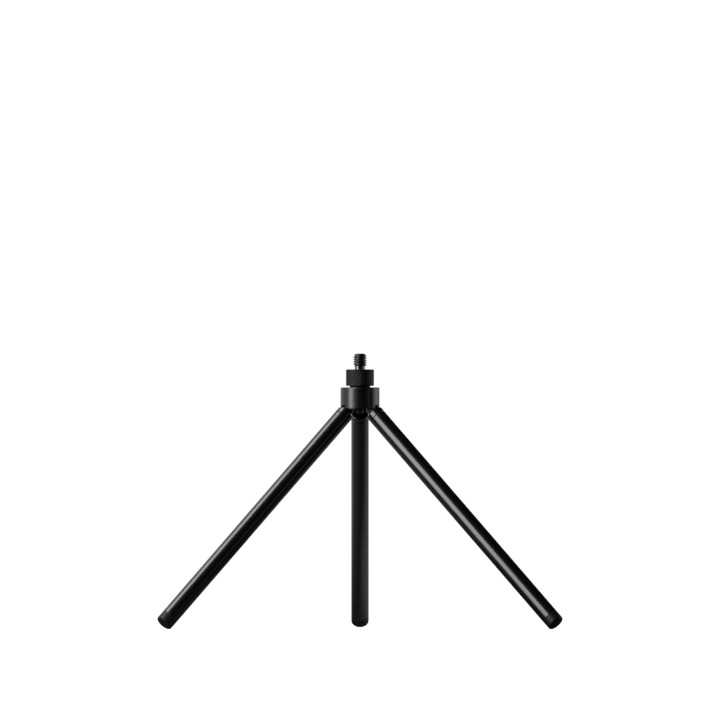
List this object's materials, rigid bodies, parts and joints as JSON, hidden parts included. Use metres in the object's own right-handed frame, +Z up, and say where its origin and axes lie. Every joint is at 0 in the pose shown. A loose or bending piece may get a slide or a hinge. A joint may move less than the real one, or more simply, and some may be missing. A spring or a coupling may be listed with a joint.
{
  "type": "tripod field stand",
  "caption": "Small black tripod stand: threaded mounting stud on a knurled captive thumbscrew, turned hub, and straight tube legs that spread to a stop and fold together.",
  "frame": {"origin": "on the stand's axis, at the knob's top seating face, the legs spread", "axes": "+Z up along the mounting stud, +Y towards the rear leg, +X to the right of a viewer who faces +Y"},
  "size_m": [0.2862, 0.2496, 0.1943],
  "materials": {
    "black_oxide_steel": "satin black oxide",
    "black_knurled_aluminium": "fine knurl, matt black anodised",
    "spring_steel": "phosphated",
    "black_polymer": "moulded",
    "black_turned_aluminium": "turned, satin black anodised",
    "black_milled_aluminium": "milled, satin black anodised",
    "steel_pin": "ground",
    "bronze_bush": "sintered bronze",
    "black_satin_aluminium": "satin black anodised",
    "black_tube_aluminium": "drawn, satin black anodised",
    "black_foot_rubber": "moulded, smooth"
  },
  "bodies": {
    "hub": {"hub_shell": "black_turned_aluminium", "hub_core": "black_milled_aluminium", "thrust_washer": "black_polymer", "lower_washer": "black_polymer", "pivot_pin_1": "steel_pin", "pivot_pin_2": "steel_pin", "pivot_pin_3": "steel_pin"},
    "thumbscrew": {"thumb_stud": "black_oxide_steel", "thumb_knob": "black_knurled_aluminium", "retaining_ring": "spring_steel"},
    "leg_1": {"hinge_end_1": "black_satin_aluminium", "pivot_bush_1": "bronze_bush", "leg_tube_1": "black_tube_aluminium", "foot_cap_1": "black_foot_rubber"},
    "leg_2": {"hinge_end_2": "black_satin_aluminium", "pivot_bush_2": "bronze_bush", "leg_tube_2": "black_tube_aluminium", "foot_cap_2": "black_foot_rubber"},
    "leg_3": {"hinge_end_3": "black_satin_aluminium", "pivot_bush_3": "bronze_bush", "leg_tube_3": "black_tube_aluminium", "foot_cap_3": "black_foot_rubber"}
  },
  "joints": [
    {"name": "thumbscrew_turn", "type": "hinge", "parent": "hub", "child": "thumbscrew", "pos_m": [0, 0, 0], "axis": [0, 0, 1], "continuous": true},
    {"name": "leg_1_fold", "type": "hinge", "parent": "hub", "child": "leg_1", "pos_m": [0, 0.00927, -0.02553], "axis": [-1, 0, 0], "range_deg": [0, 45]},
    {"name": "leg_2_fold", "type": "hinge", "parent": "hub", "child": "leg_2", "pos_m": [-0.00803, -0.00464, -0.02553], "axis": [0.5, -0.866, 0], "range_deg": [0, 45]},
    {"name": "leg_3_fold", "type": "hinge", "parent": "hub", "child": "leg_3", "pos_m": [0.00803, -0.00464, -0.02553], "axis": [0.5, 0.866, 0], "range_deg": [0, 45]}
  ]
}
